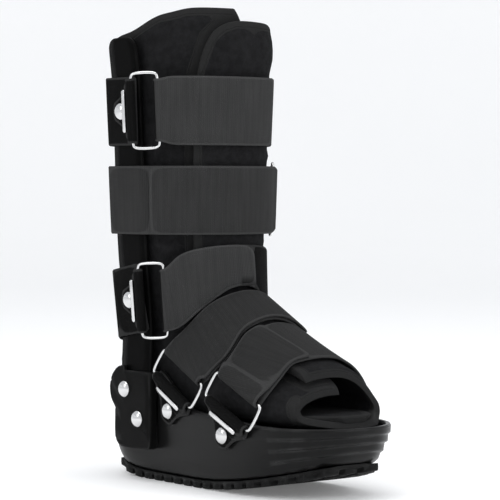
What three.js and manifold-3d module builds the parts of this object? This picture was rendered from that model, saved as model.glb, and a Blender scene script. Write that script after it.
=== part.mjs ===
// A fixed-ankle medical walking boot: a rocker sole with a moulded foot shell, two side uprights, a padded
// wrap-around liner that is open at the top and at the toes, and five webbing straps on wire rings.
// Millimetres and degrees. +Z is up, the toes point to -Y, and the wearer's right side is -X.
// Inside this file a place is (side, ahead, up): side is +X, ahead is -Y from the ankle's axis.
import * as THREE from "three";
import { mergeVertices } from "three/addons/utils/BufferGeometryUtils.js";
import Module from "manifold-3d";

const wasm = await Module();
wasm.setup();

// Heights above the floor
const bootHeight = 347; // top of the liner
const bedHeight = 46; // foot bed inside the shell
const instepHeight = 96; // foot bed to the bend of the instep
const rimHeight = 51; // edge of the shell at the toes
const earHeight = 32; // highest ear of the shell above that edge

// Liner, outside sizes
const calfWidth = 112;
const calfDepth = 114;
const footWidth = 93;
const heelReach = 57; // ankle's axis to the back of the liner's heel
const toeReach = 188; // ankle's axis to the tip of the liner's toe pad
const linerWall = 6;
const nearFlapEdge = -8; // turn from the front at which the inner flap ends
const farFlapEdge = 34; // turn at which the outer flap ends, lying over the inner one
const flapCorner = { wide: 35, tall: 43 };
const innerCorner = { wide: 10, tall: 15 };

// Sole
const soleHeel = 64; // ankle's axis to the back of the sole
const soleToe = 198; // ankle's axis to the front of the sole
const heelWidth = 92;
const ballWidth = 104;
const toeRound = 60; // length of the rounded toe
const shellWall = 4;
const restBack = 0; // the flat of the rocker, ahead of the ankle's axis
const restFront = 65;
const restMiddle = 40; // the origin's place under the flat
const heelRise = 17;
const toeRise = 23;
const lugDepth = 3.5;
const lugLength = 8.5;
const lugPitch = 12.5;
const lugGroove = 6;
const treadSlab = 2.5;

// Uprights and their sockets
const uprightWidth = 36;
const uprightTopWidth = 33;
const uprightThick = 3.6;
const uprightFlare = 5; // how far the top leans out
const uprightTop = 326;
const uprightFoot = 30;
const uprightCorner = 9;
const socketTop = 81;
const socketFoot = 24;
const socketWall = 4; // plastic before and behind the upright
const socketPlate = 3; // plastic outside the upright
const socketLobe = 18;
const lobeAhead = -9;
const lobeUp = 67;
const socketRivets = [
  { ahead: -8, up: 67 },
  { ahead: 8, up: 46 },
];

// Straps, rings, keepers and rivets
const strapWidth = 50;
const strapThick = 2;
const wire = 3; // diameter of the ring's wire
const ringWide = 52; // inside, along the bars
const ringDeep = 18; // inside, between the bars
const ringCorner = 4;
const keeperWall = 1.6;
const keeperWide = 47;
const keeperNarrow = 17;
const rivetOffset = 15; // ring's bar to the rivet
const rivetRadius = 6.2;
const rivetRise = 3.4;
const shankRadius = 2.4;
const clipWide = 31;
const clipDeep = 3.2;
const clipThick = 1.8;
// Each strap is a band between two parallel planes: lean is the planes' rise ahead, ahead and up a point
// between them, side the side of its ring, freeEnd the turn at which the folded-back end stops. A strap stops
// short of the one named under, which covers its edge; rise is how much further up it runs in front.
const straps = [
  { name: "top", side: -1, lean: 0, ahead: 0, up: 272, freeEnd: -28, corner: 3 },
  { name: "middle", side: 1, lean: 0, ahead: 0, up: 207, freeEnd: -66, corner: 3 },
  {
    name: "lower", side: -1, lean: 10, ahead: 0, up: 133.5, freeEnd: -10, corner: 13, rise: 5,
    under: "instep",
  },
  { name: "instep", side: -1, lean: 48, ahead: 55.5, up: 87.5, freeEnd: -36, corner: 3, under: "forefoot" },
  { name: "forefoot", side: -1, lean: 83, ahead: 122, up: 77, freeEnd: 24, corner: 3 },
];
const legStart = -285; // turn at which a leg strap starts under its keeper
const legRivetTurn = 88; // turn of the rivets of the leg straps' keepers
// The foot straps' keepers, their height and lean; their far ends' height, and how far those are drawn ahead
const footKeepers = {
  instep: { up: 54, lean: 64, farUp: 62, farSlide: 10 },
  forefoot: { up: 42, lean: 66, farUp: 42, farSlide: 0 },
};

// Clearances
const gap = 0.8; // between soft layers
const footGap = 1.5; // under the foot straps
const seat = 0.4; // between hard pieces that rest on each other
const stand = 0.7; // under the keepers
const edgeRoom = 4.6; // between the edges of straps that meet

// Fineness
const turnSteps = 33;
const rowSteps = 20;
const strapPitch = 7.6; // degrees between a strap's rows
const wireSides = 6;

const radians = THREE.MathUtils.degToRad;
const smooth = THREE.MathUtils.smoothstep;
const mix = THREE.MathUtils.lerp;

function at(side, ahead, up) {
  return new THREE.Vector3(side, -ahead, up);
}

// Leg sections, top to ankle: up as a share of the leg above the instep's bend, crest (shin) and base (calf)
// as shares of calfDepth from the axis, width as a share of calfWidth; peak and square are the powers of the
// rounded outline's two halves.
const legTable = [
  { up: 1.0, crest: 0.495, base: -0.5, width: 1.0, square: 2.2, peak: 2.2 },
  { up: 0.76, crest: 0.485, base: -0.5, width: 0.995, square: 2.2, peak: 2.2 },
  { up: 0.47, crest: 0.46, base: -0.475, width: 0.965, square: 2.2, peak: 2.2 },
  { up: 0.24, crest: 0.445, base: -0.445, width: 0.935, square: 2.2, peak: 2.2 },
  { up: 0.09, crest: 0.44, base: -0.43, width: 0.895, square: 2.2, peak: 2.15 },
];
// Foot sections, ankle to toes: crest (instep) and base (heel, then sole) ahead as shares of toeReach, or of
// heelReach where negative, heights as shares of instepHeight above the bed, width as a share of footWidth.
const footTable = [
  { ahead: 0.27, up: 1.02, baseAhead: -0.88, baseUp: 0.69, width: 1.01, square: 2.2, peak: 2.05, gape: 0 },
  { ahead: 0.295, up: 0.945, baseAhead: -1.0, baseUp: 0.375, width: 0.9, square: 2.3, peak: 1.95, gape: 0 },
  { ahead: 0.328, up: 0.9, baseAhead: -0.91, baseUp: 0.1, width: 0.885, square: 2.4, peak: 1.9, gape: 0 },
  { ahead: 0.362, up: 0.855, baseAhead: -0.44, baseUp: 0, width: 0.885, square: 2.6, peak: 1.85, gape: 0 },
  { ahead: 0.402, up: 0.805, baseAhead: 0.064, baseUp: 0.005, width: 0.9, square: 3, peak: 1.8, gape: 0 },
  { ahead: 0.458, up: 0.745, baseAhead: 0.266, baseUp: 0.005, width: 0.935, square: 3.2, peak: 1.8, gape: 0 },
  { ahead: 0.53, up: 0.668, baseAhead: 0.426, baseUp: 0.005, width: 0.96, square: 3.2, peak: 1.8, gape: 0 },
  { ahead: 0.606, up: 0.59, baseAhead: 0.532, baseUp: 0.005, width: 0.98, square: 3.2, peak: 1.8, gape: 0 },
  { ahead: 0.68, up: 0.52, baseAhead: 0.622, baseUp: 0.005, width: 0.99, square: 3.2, peak: 1.8, gape: 0 },
  { ahead: 0.755, up: 0.445, baseAhead: 0.729, baseUp: 0.01, width: 0.98, square: 3.2, peak: 1.8, gape: 0.3 },
  { ahead: 0.815, up: 0.38, baseAhead: 0.83, baseUp: 0.015, width: 0.94, square: 3, peak: 1.85, gape: 1 },
  { ahead: 0.862, up: 0.32, baseAhead: 0.915, baseUp: 0.02, width: 0.86, square: 2.8, peak: 1.9, gape: 1.5 },
  { ahead: 0.904, up: 0.28, baseAhead: 1.0, baseUp: 0.03, width: 0.7, square: 2.6, peak: 1.9, gape: 1.5 },
];
const toeGape = 4; // how far the outer flap stands off at the toes, for each unit of gape
const lastRow = legTable.length + footTable.length - 1;
const sideRow = lastRow - 1; // the flaps end here, and only the toe pad runs on

const rows = [
  ...legTable.map((r) => {
    const bend = bedHeight + instepHeight;
    const up = mix(bend, bootHeight, r.up);
    return {
      crestAhead: r.crest * calfDepth,
      crestUp: up,
      baseAhead: r.base * calfDepth,
      baseUp: up,
      half: (r.width * calfWidth) / 2,
      square: r.square,
      peak: r.peak,
      gape: 0,
    };
  }),
  ...footTable.map((r) => ({
    crestAhead: r.ahead * toeReach,
    crestUp: bedHeight + r.up * instepHeight,
    baseAhead: r.baseAhead * (r.baseAhead < 0 ? heelReach : toeReach),
    baseUp: bedHeight + seat + r.baseUp * instepHeight,
    half: (r.width * footWidth) / 2,
    square: r.square,
    peak: r.peak,
    gape: r.gape * toeGape,
  })),
];

// A column of the sections, smooth between rows
function column(name, row) {
  const i = Math.min(Math.floor(row), rows.length - 2);
  const t = row - i;
  const [a, b, c, d] = [-1, 0, 1, 2].map((k) => rows[THREE.MathUtils.clamp(i + k, 0, rows.length - 1)][name]);
  const squared = (2 * a - 5 * b + 4 * c - d) * t * t;
  const cubed = (3 * b - a - 3 * c + d) * t * t * t;
  return 0.5 * (2 * b + (c - a) * t + squared + cubed);
}

const signedPower = (value, power) => Math.sign(value) * Math.abs(value) ** power;

// A section's own plane: x towards the right side, y from its middle towards the crest
function sectionFrame(row) {
  const [ca, cu, ba, bu] = ["crestAhead", "crestUp", "baseAhead", "baseUp"].map((n) => column(n, row));
  const deep = Math.hypot(ca - ba, cu - bu) / 2;
  return {
    ahead: (ca + ba) / 2,
    up: (cu + bu) / 2,
    yAhead: (ca - ba) / 2 / deep,
    yUp: (cu - bu) / 2 / deep,
    deep,
    half: column("half", row),
    square: column("square", row),
    peak: column("peak", row),
  };
}

// A point of a section: turn runs from the crest over the right side, lift is outwards
function flatPoint(frame, turn, lift) {
  const [s, c] = [Math.sin(radians(turn)), Math.cos(radians(turn))];
  const power = c > 0 ? frame.peak : frame.square;
  const normal = [
    signedPower(s, 2 - 2 / power) / frame.half,
    signedPower(c, 2 - 2 / power) / frame.deep,
  ];
  const size = Math.hypot(...normal);
  return {
    x: frame.half * signedPower(s, 2 / power) + (lift * normal[0]) / size,
    y: frame.deep * signedPower(c, 2 / power) + (lift * normal[1]) / size,
    nx: normal[0] / size,
    ny: normal[1] / size,
  };
}

function fromFlat(frame, x, y) {
  return at(-x, frame.ahead + y * frame.yAhead, frame.up + y * frame.yUp);
}

function surface(row, turn, lift) {
  const frame = sectionFrame(row);
  const p = flatPoint(frame, turn, lift);
  return fromFlat(frame, p.x, p.y);
}

// How far the outer flap stands off the section's outline
function flapLift(row, turn) {
  const t = ((turn % 360) + 360) % 360;
  const along = t > 180 ? t : t + 360;
  if (along > farFlapEdge + 360) return 0;
  return (linerWall + gap + column("gape", row)) * smooth(along, 285, 345);
}

// Finds the row at which a quantity that grows along the liner reaches a value
function findRow(quantity, value, low = 0, high = lastRow) {
  for (let i = 0; i < 40; i += 1) {
    const middle = (low + high) / 2;
    if (quantity(middle) < value) low = middle;
    else high = middle;
  }
  return (low + high) / 2;
}

// Meshes
function geometry(points, triangles) {
  let volume = 0;
  for (const [a, b, c] of triangles) volume += points[a].dot(points[b].clone().cross(points[c]));
  const order = volume < 0 ? [0, 2, 1] : [0, 1, 2];
  const positions = triangles.flatMap((t) => order.flatMap((k) => points[t[k]].toArray()));
  const made = new THREE.BufferGeometry();
  made.setAttribute("position", new THREE.Float32BufferAttribute(positions, 3));
  made.computeVertexNormals();
  return made;
}

// A solid through rings of the same number of points. Its ends are closed by strips from the first half of
// a ring to the second half, or the last ring joins the first.
function loft(rings, joined = false) {
  const n = rings[0].length;
  const triangles = [];
  const quad = (a, b, c, d) => triangles.push([a, b, c], [a, c, d]);
  const spans = joined ? rings.length : rings.length - 1;
  for (let i = 0; i < spans; i += 1) {
    const next = (i + 1) % rings.length;
    for (let j = 0; j < n; j += 1) {
      const k = (j + 1) % n;
      quad(i * n + j, i * n + k, next * n + k, next * n + j);
    }
  }
  if (!joined)
    for (let j = 0; j < n / 2 - 1; j += 1) {
      const last = (rings.length - 1) * n;
      quad(n - 1 - j, n - 2 - j, j + 1, j);
      quad(last + j, last + j + 1, last + n - 2 - j, last + n - 1 - j);
    }
  return geometry(rings.flat(), triangles);
}

function solid(shape) {
  const bare = shape.clone();
  bare.deleteAttribute("normal");
  bare.deleteAttribute("uv");
  const merged = mergeVertices(bare, 1e-4);
  return new wasm.Manifold(
    new wasm.Mesh({
      numProp: 3,
      vertProperties: merged.attributes.position.array,
      triVerts: new Uint32Array(merged.index.array),
    }),
  );
}

function fromSolid(made) {
  const mesh = made.getMesh();
  const indexed = new THREE.BufferGeometry();
  indexed.setAttribute("position", new THREE.BufferAttribute(mesh.vertProperties, 3));
  indexed.setIndex(new THREE.BufferAttribute(mesh.triVerts, 1));
  const open = indexed.toNonIndexed();
  open.computeVertexNormals();
  return open;
}

const subtract = (from, ...tools) =>
  fromSolid(tools.reduce((left, tool) => left.subtract(solid(tool)), solid(from)));
const unite = (first, ...others) =>
  fromSolid(others.reduce((all, other) => all.add(solid(other)), solid(first)));

const finishes = {
  foam: { color: 0x141415, roughness: 0.9, metalness: 0 },
  webbing: { color: 0x2b2b2c, roughness: 0.95, metalness: 0 },
  plastic: { color: 0x161616, roughness: 0.45, metalness: 0 },
  rubber: { color: 0x121212, roughness: 0.8, metalness: 0 },
  steel: { color: 0xc4c4c4, roughness: 0.25, metalness: 1 },
};
const boot = new THREE.Group();

function add(name, shape, finish) {
  const mesh = new THREE.Mesh(shape, new THREE.MeshStandardMaterial(finishes[finish]));
  mesh.name = name;
  boot.add(mesh);
  return mesh;
}

// Liner: one padded sheet that starts at the inner flap's edge, runs over the right side, the back or the
// sole and the left side, and ends as the outer flap over the inner one.
// The rim's drop below the top, as a share of bootHeight, at turns around the leg.
const rimTable = [
  { turn: -8, drop: 0.0 },
  { turn: 35, drop: 0.0 },
  { turn: 62, drop: 0.014 },
  { turn: 90, drop: 0.05 },
  { turn: 130, drop: 0.066 },
  { turn: 180, drop: 0.03 },
  { turn: 230, drop: 0.06 },
  { turn: 285, drop: 0.075 },
  { turn: 335, drop: 0.028 },
  { turn: 394, drop: 0.022 },
];

function tableValue(table, key, value, name) {
  const i = Math.max(1, table.findIndex((r) => r[key] >= value));
  const [a, b] = [table[i - 1], table[i]];
  return mix(a[name], b[name], smooth(value, a[key], b[key]));
}

function cornerDrop(distance, corner) {
  const share = THREE.MathUtils.clamp(1 - distance / corner.wide, 0, 1);
  return corner.tall * (1 - Math.sqrt(1 - share * share));
}

function rimRow(turn) {
  const arc = radians(1) * (calfDepth / 2);
  const drop =
    bootHeight * tableValue(rimTable, "turn", turn, "drop") +
    cornerDrop((farFlapEdge + 360 - turn) * arc, flapCorner) +
    cornerDrop((turn - nearFlapEdge) * arc, innerCorner);
  return findRow((row) => -surface(row, turn, 0).z, drop - bootHeight, 0, legTable.length);
}

function toeRow(turn) {
  const pad = smooth(turn, 118, 150) * (1 - smooth(turn, 210, 242));
  return sideRow + pad * (lastRow - sideRow);
}

function linerGeometry() {
  const total = farFlapEdge + 360 - nearFlapEdge;
  const turns = Array.from({ length: turnSteps + 1 }, (_, i) => {
    const u = i / turnSteps;
    return nearFlapEdge + total * (u - 0.035 * Math.sin(2 * Math.PI * u));
  });
  const sheet = (inside) =>
    turns.map((turn) => {
      const [first, last] = [rimRow(turn), toeRow(turn)];
      return Array.from({ length: rowSteps + 1 }, (_, k) => {
        const row = mix(first, last, k / rowSteps);
        return surface(row, turn, (turn > 180 ? flapLift(row, turn) : 0) - inside);
      });
    });
  const [outer, inner] = [sheet(0), sheet(linerWall)];
  return loft(outer.map((line, i) => [...line, ...inner[i].reverse()]));
}

// Sole outline: half width at a place ahead of the ankle
function soleHalf(ahead) {
  const heelCentre = heelWidth / 2 - soleHeel;
  const toeStart = soleToe - toeRound;
  const side = mix(heelWidth, ballWidth, smooth(ahead, heelCentre, toeStart - 25)) / 2;
  if (ahead < heelCentre) return Math.sqrt((heelWidth / 2) ** 2 - (heelCentre - ahead) ** 2);
  if (ahead > toeStart) return side * (1 - ((ahead - toeStart) / toeRound) ** 2.2) ** (1 / 2.2);
  return side;
}

// Height of the tread's underside above the floor
function rocker(ahead) {
  if (ahead < restBack) return heelRise * ((restBack - ahead) / (restBack + soleHeel)) ** 2;
  if (ahead > restFront) return toeRise * ((ahead - restFront) / (soleToe - restFront)) ** 1.8;
  return 0;
}

// Stations along the sole: ahead as a share of soleToe, or of soleHeel where negative, and the edge's rise
// as a share of earHeight.
const soleTable = [
  { ahead: -0.985, rise: 0.34 },
  { ahead: -0.93, rise: 0.34 },
  { ahead: -0.83, rise: 0.38 },
  { ahead: -0.66, rise: 0.5 },
  { ahead: -0.45, rise: 0.93 },
  { ahead: -0.23, rise: 0.93 },
  { ahead: 0.025, rise: 0.93 },
  { ahead: 0.12, rise: 0.93 },
  { ahead: 0.128, rise: 1.0 },
  { ahead: 0.22, rise: 0.6 },
  { ahead: 0.313, rise: 0.2 },
  { ahead: 0.37, rise: 0.16 },
  { ahead: 0.47, rise: 0.12 },
  { ahead: 0.58, rise: 0.07 },
  { ahead: 0.68, rise: 0.03 },
  { ahead: 0.76, rise: 0.0 },
  { ahead: 0.83, rise: 0.0 },
  { ahead: 0.89, rise: 0.0 },
  { ahead: 0.94, rise: 0.0 },
  { ahead: 0.975, rise: 0.0 },
  { ahead: 0.994, rise: 0.0 },
].map((r) => ({ ahead: r.ahead * (r.ahead < 0 ? soleHeel : soleToe), rise: r.rise * earHeight }));

// A ring round the sole, set in from its outline, at a height given for each station
function soleRing(inset, height) {
  const plan = [1, -1].flatMap((side) => {
    const line = soleTable.map((r) => ({ ...r, side: -side * soleHalf(r.ahead) }));
    return side > 0 ? line : line.reverse();
  });
  return plan.map((p, i) => {
    const [before, after] = [plan[(i + plan.length - 1) % plan.length], plan[(i + 1) % plan.length]];
    const along = new THREE.Vector2(after.side - before.side, after.ahead - before.ahead).normalize();
    const depth = typeof inset === "function" ? inset(p.ahead) : inset;
    const ahead = p.ahead - along.x * depth;
    return at(p.side + along.y * depth, ahead, height({ ahead, rise: p.rise }));
  });
}

// The shell's outside wall, from its foot to the edge: set-in along the side, and the terraces at the toes
const wallTable = [
  { up: 0.0, side: 6, toe: 13 },
  { up: 0.1, side: 3.4, toe: 9 },
  { up: 0.24, side: 1.8, toe: 7.6 },
  { up: 0.28, side: 1.5, toe: 5.4 },
  { up: 0.48, side: 1, toe: 4.6 },
  { up: 0.52, side: 1, toe: 2.3 },
  { up: 0.72, side: 0.8, toe: 1.9 },
  { up: 0.76, side: 0.4, toe: 0.3 },
];

// How far into the rounded toe end a station is, from 0 to 1
const toeShare = (ahead) => smooth(ahead, soleToe - toeRound * 1.2, soleToe - toeRound * 0.5);

function shellGeometry() {
  const foot = (p) => rocker(p.ahead) + lugDepth + treadSlab + seat;
  const wall = wallTable.map((w) =>
    soleRing(
      (ahead) => mix(w.side, w.toe, toeShare(ahead)),
      (p) => mix(foot(p), rimHeight, w.up),
    ),
  );
  const edge = (p) => rimHeight + p.rise;
  return loft([
    ...wall,
    soleRing(0, (p) => edge(p) - 1.2),
    soleRing(0.9, edge),
    soleRing(shellWall - 0.9, edge),
    soleRing(shellWall, (p) => edge(p) - 1.2),
    soleRing(shellWall + 0.5, () => bedHeight),
  ]);
}

// Outsole: a curved slab with rows of lugs, one row under the middle of the flat
function outsoleGeometry() {
  const heelInset = (ahead) => mix(8.5, 5.2, smooth(ahead, -soleHeel, -soleHeel / 3));
  const edgeInset = (ahead) => mix(heelInset(ahead), 13.2, toeShare(ahead));
  const slab = loft([
    soleRing((a) => edgeInset(a) + 0.8, (p) => rocker(p.ahead) + lugDepth),
    soleRing(edgeInset, (p) => rocker(p.ahead) + lugDepth + 1.2),
    soleRing(edgeInset, (p) => rocker(p.ahead) + lugDepth + treadSlab),
  ]);
  const lugs = [];
  const first = Math.ceil((-soleHeel + 9 - restMiddle) / lugPitch);
  const last = Math.floor((soleToe - 13 - restMiddle) / lugPitch);
  for (let i = first; i <= last; i += 1) {
    const [back, front] = [-1, 1].map((k) => restMiddle + i * lugPitch + (k * lugLength) / 2);
    const half = Math.min(soleHalf(back), soleHalf(front)) - edgeInset(front) + 0.6;
    const third = (2 * half) / 3;
    for (const k of [-1, 0, 1]) {
      const [low, high] = [k - 0.5, k + 0.5].map((s) => s * third);
      const [left, right] = [k < 0 ? low : low + lugGroove / 2, k > 0 ? high : high - lugGroove / 2];
      const ring = (rise) => [
        at(left, back, rocker(back) + rise),
        at(left, front, rocker(front) + rise),
        at(right, front, rocker(front) + rise),
        at(right, back, rocker(back) + rise),
      ];
      lugs.push(loft([ring(0), ring(lugDepth + 2)]));
    }
  }
  return unite(slab, ...lugs);
}

// Height of the shell's edge
function edgeHeight(ahead) {
  const i = Math.max(1, soleTable.findIndex((r) => r.ahead >= ahead));
  const [a, b] = [soleTable[i - 1], soleTable[i]];
  return rimHeight + mix(a.rise, b.rise, (ahead - a.ahead) / (b.ahead - a.ahead));
}

// Uprights: flat bars from the sockets to the top strap, bent to the liner's side
const sideNames = { "-1": "right", 1: "left" };
const socketInside = soleHalf(uprightWidth / 2 + socketWall + 1) + seat;

function uprightInside(up) {
  const row = findRow((r) => -surface(r, 90, 0).z, -up, 0, legTable.length + 3);
  const liner = column("half", row) + seat;
  const flare = uprightFlare * smooth(up, uprightTop - 45, uprightTop + 10);
  return Math.max(liner, mix(socketInside + seat, liner, smooth(up, socketTop, socketTop + 70))) + flare;
}

function uprightGeometry(side) {
  const shares = [0, 0.175, 0.26, 0.34, 0.42, 0.52, 0.64, 0.78, 0.9, 0.97, 0.98, 0.99, 0.997, 1];
  return loft(
    shares.map((share) => {
      const up = mix(uprightFoot, uprightTop, share);
      const cut = cornerDrop(uprightTop - up, { wide: uprightCorner, tall: uprightCorner });
      const half = mix(uprightWidth, uprightTopWidth, share) / 2 - cut;
      const inside = uprightInside(up);
      return [
        at(side * inside, -half, up),
        at(side * inside, half, up),
        at(side * (inside + uprightThick), half, up),
        at(side * (inside + uprightThick), -half, up),
      ];
    }),
  );
}

// A prism from an outline in (ahead, up), between two distances to a side
function sidePlate(outline, side, inside, outside) {
  const points = [inside, outside].flatMap((d) => outline.map((p) => at(side * d, p.x, p.y)));
  const n = outline.length;
  const faces = THREE.ShapeUtils.triangulateShape(outline, []);
  const triangles = faces.flatMap(([a, b, c]) => [
    [c, b, a],
    [a + n, b + n, c + n],
  ]);
  for (let i = 0; i < n; i += 1) {
    const j = (i + 1) % n;
    triangles.push([i, j, j + n], [i, j + n, i + n]);
  }
  return geometry(points, triangles);
}

// Socket: a cover over the upright's foot, open at the top, with a round lobe behind
const pocketOutside = socketInside + uprightThick + 2 * seat;
const socketOutside = pocketOutside + socketPlate;
const uprightHalf = uprightWidth / 2;

function socketGeometry(side) {
  const shape = new THREE.Path();
  const [back, front] = [-uprightHalf - seat - 2, uprightHalf + seat + socketWall];
  shape.moveTo(front - 4, socketFoot);
  shape.absarc(front - 4, socketFoot + 4, 4, -Math.PI / 2, 0);
  shape.lineTo(front, socketTop);
  shape.lineTo(lobeAhead, socketTop);
  shape.lineTo(lobeAhead, lobeUp + socketLobe);
  shape.absarc(lobeAhead, lobeUp, socketLobe, Math.PI / 2, Math.PI * 1.28);
  shape.lineTo(back, socketFoot + 22);
  shape.absarc(back + 10, socketFoot + 10, 10, Math.PI, Math.PI * 1.5);
  const outline = shape.getPoints(5).filter((p, i, all) => i === 0 || p.distanceTo(all[i - 1]) > 0.01);
  const pocket = [
    [-uprightHalf - seat, uprightFoot - seat],
    [uprightHalf + seat, uprightFoot - seat],
    [uprightHalf + seat, bootHeight],
    [-uprightHalf - seat, bootHeight],
  ].map((p) => new THREE.Vector2(...p));
  return subtract(
    sidePlate(outline, side, socketInside, socketOutside),
    sidePlate(pocket, side, socketInside - 5, pocketOutside),
  );
}

// Straps
function hull(points) {
  const sorted = [...points].sort((a, b) => a.x - b.x || a.y - b.y);
  const chain = (list) => {
    const kept = [];
    for (const p of list) {
      while (kept.length > 1) {
        const [a, b] = kept.slice(-2);
        if ((b.x - a.x) * (p.y - a.y) - (b.y - a.y) * (p.x - a.x) > 1e-9) break;
        kept.pop();
      }
      kept.push(p);
    }
    return kept.slice(0, -1);
  };
  return [...chain(sorted), ...chain(sorted.reverse())];
}

// A strap's planes: side, run and width directions about a point between them
function bandPlanes(spec) {
  const lean = radians(spec.lean);
  return {
    origin: at(0, spec.ahead, spec.up),
    across: at(spec.side, 0, 0),
    along: at(0, Math.cos(lean), Math.sin(lean)),
    wide: at(0, Math.sin(lean), -Math.cos(lean)),
  };
}

// A strap is drawn tight over everything between its two planes.
function makeBand(spec) {
  const { origin, across, along, wide } = bandPlanes(spec);
  const foot = footKeepers[spec.name];
  const over = spec.under && bandPlanes(straps.find((other) => other.name === spec.under));
  const limit = foot ? 116 : 180;
  const flat = (p) => new THREE.Vector2(p.clone().sub(origin).dot(across), p.clone().sub(origin).dot(along));

  const outline = (edge) => {
    const points = [];
    const turns = [farFlapEdge - 0.01];
    for (let turn = -limit; turn <= limit; turn += 4) turns.push(turn);
    for (const turn of turns) {
      const row = findRow((r) => surface(r, turn, flapLift(r, turn)).sub(origin).dot(wide), edge);
      points.push(flat(surface(row, turn, flapLift(row, turn))));
    }
    for (const side of [-1, 1])
      for (const end of [0, 1]) {
        let [ahead, up] = [spec.ahead, spec.up];
        if (foot) {
          for (let i = 0; i < 12; i += 1) {
            up = end ? edgeHeight(ahead) : foot.up - 16;
            ahead = spec.ahead + (edge - (up - spec.up) * wide.z) / -wide.y;
          }
          points.push(flat(at(side * (soleHalf(ahead) + 0.3), ahead, up)));
        } else {
          ahead = (end ? 1 : -1) * ((uprightWidth + uprightTopWidth) / 4 + 0.6);
          up = spec.up + (edge + ahead * wide.y) / wide.z;
          points.push(flat(at(side * (uprightInside(up) + uprightThick + 0.9), ahead, up)));
        }
      }
    const corners = hull(points);
    return corners.map((a, i) => {
      const b = corners[(i + 1) % corners.length];
      const normal = new THREE.Vector2(b.y - a.y, a.x - b.x).normalize();
      return { normal, reach: normal.dot(a) + (foot ? footGap : gap) };
    });
  };

  const outlines = [-1.4, -0.8, -0.2, 0.4, 1].map((k) => outline((k * strapWidth) / 2));
  const reachAt = (sides, x, y) =>
    Math.min(...sides.map((s) => Math.max(s.reach, 0) / Math.max(s.normal.x * x + s.normal.y * y, 1e-6)));
  const radius = (turn, share) => {
    const [x, y] = [Math.sin(radians(turn)), Math.cos(radians(turn))];
    const place = THREE.MathUtils.clamp((share + 1.4) / 0.6, 0, 4);
    const i = Math.min(Math.floor(place), 3);
    return mix(reachAt(outlines[i], x, y), reachAt(outlines[i + 1], x, y), place - i);
  };
  const outwards = (turn) =>
    across.clone().multiplyScalar(Math.sin(radians(turn))).addScaledVector(along, Math.cos(radians(turn)));

  // The edges, as shares of the half width: the lower one stops short of a strap that lies over it.
  const rise = (spec.rise || 0) / (strapWidth / 2);
  const upperEdge = (turn) => -1 - rise * (1 - smooth(Math.abs(turn), 15, 70));
  const lowerEdge = (turn) => {
    if (!over) return 1;
    const middle = origin.clone().addScaledVector(outwards(turn), radius(turn, 0.5));
    const room = -strapWidth / 2 - edgeRoom - middle.sub(over.origin).dot(over.wide);
    return THREE.MathUtils.clamp(room / wide.dot(over.wide) / (strapWidth / 2), 0, 1);
  };

  // The straight row of the strap's under face at a turn: its middle, and the step to its lower edge
  const row = (turn) => {
    const first = upperEdge(turn);
    const last = Math.min(lowerEdge(turn), first + 2);
    const shares = [0, 1, 2, 3, 4].map((k) => mix(first, last, k / 4));
    const r = shares.map((share) => radius(turn, share));
    for (const k of [1, 2, 3]) {
      const miss = r[k] - mix(r[0], r[4], k / 4);
      if (miss > 0 && k > 1) r[4] += miss / (k / 4);
      if (miss > 0 && k < 3) r[0] += miss / (1 - k / 4);
    }
    const outward = outwards(turn);
    const middle = origin.clone().addScaledVector(outward, (r[0] + r[4]) / 2);
    middle.addScaledVector(wide, ((last + first) * strapWidth) / 4);
    const step = wide.clone().multiplyScalar(((last - first) * strapWidth) / 4);
    step.addScaledVector(outward, (r[4] - r[0]) / 2);
    return { middle, step, outward };
  };

  const place = (turn) => {
    const here = row(turn);
    const travel = row(turn + 1).middle.sub(row(turn - 1).middle).normalize();
    const normal = travel.clone().cross(here.step).normalize();
    if (normal.dot(here.outward) < 0) normal.negate();
    return { ...here, travel, normal };
  };
  return { spec, origin, across, along, wide, foot, place };
}

// A sheet of even thickness through straight rows
function ribbon(path, thick) {
  const middles = path.map((r) => r.middle);
  return loft(
    path.map((r, i) => {
      const travel = middles[Math.min(i + 1, path.length - 1)].clone().sub(middles[Math.max(i - 1, 0)]);
      const normal = travel.cross(r.step).normalize().multiplyScalar(thick / 2);
      const a = r.middle.clone().addScaledVector(r.step, -r.first);
      const b = r.middle.clone().addScaledVector(r.step, r.last);
      return [a.clone().add(normal), b.clone().add(normal), b.clone().sub(normal), a.clone().sub(normal)];
    }),
  );
}

// A dome-headed pin about the local z, its head's seat at zero
function rivetGeometry(depth) {
  const profile = [
    [0, -depth],
    [shankRadius, -depth],
    [shankRadius, 0],
    [rivetRadius, 0],
    [rivetRadius, 0.7],
    [rivetRadius * 0.8, rivetRise * 0.62],
    [rivetRadius * 0.42, rivetRise * 0.93],
    [0, rivetRise],
  ];
  return spin(profile, 8);
}

function spin(profile, sides) {
  const inner = profile.slice(1, -1);
  const points = inner.flatMap(([r, z]) =>
    Array.from({ length: sides }, (_, i) => {
      const angle = (2 * Math.PI * i) / sides;
      return new THREE.Vector3(r * Math.cos(angle), r * Math.sin(angle), z);
    }),
  );
  const [first, last] = [points.length, points.length + 1];
  points.push(new THREE.Vector3(0, 0, profile[0][1]), new THREE.Vector3(0, 0, profile.at(-1)[1]));
  const triangles = [];
  for (let j = 0; j < sides; j += 1) {
    const k = (j + 1) % sides;
    const top = (inner.length - 1) * sides;
    triangles.push([first, k, j], [last, top + j, top + k]);
    for (let i = 0; i < inner.length - 1; i += 1) {
      const [a, b] = [i * sides, (i + 1) * sides];
      triangles.push([a + j, a + k, b + k], [a + j, b + k, b + j]);
    }
  }
  return geometry(points, triangles);
}

function drillGeometry(from, to) {
  const radius = shankRadius + 0.35;
  return spin(
    [
      [0, from],
      [radius, from],
      [radius, to],
      [0, to],
    ],
    10,
  );
}

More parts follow.
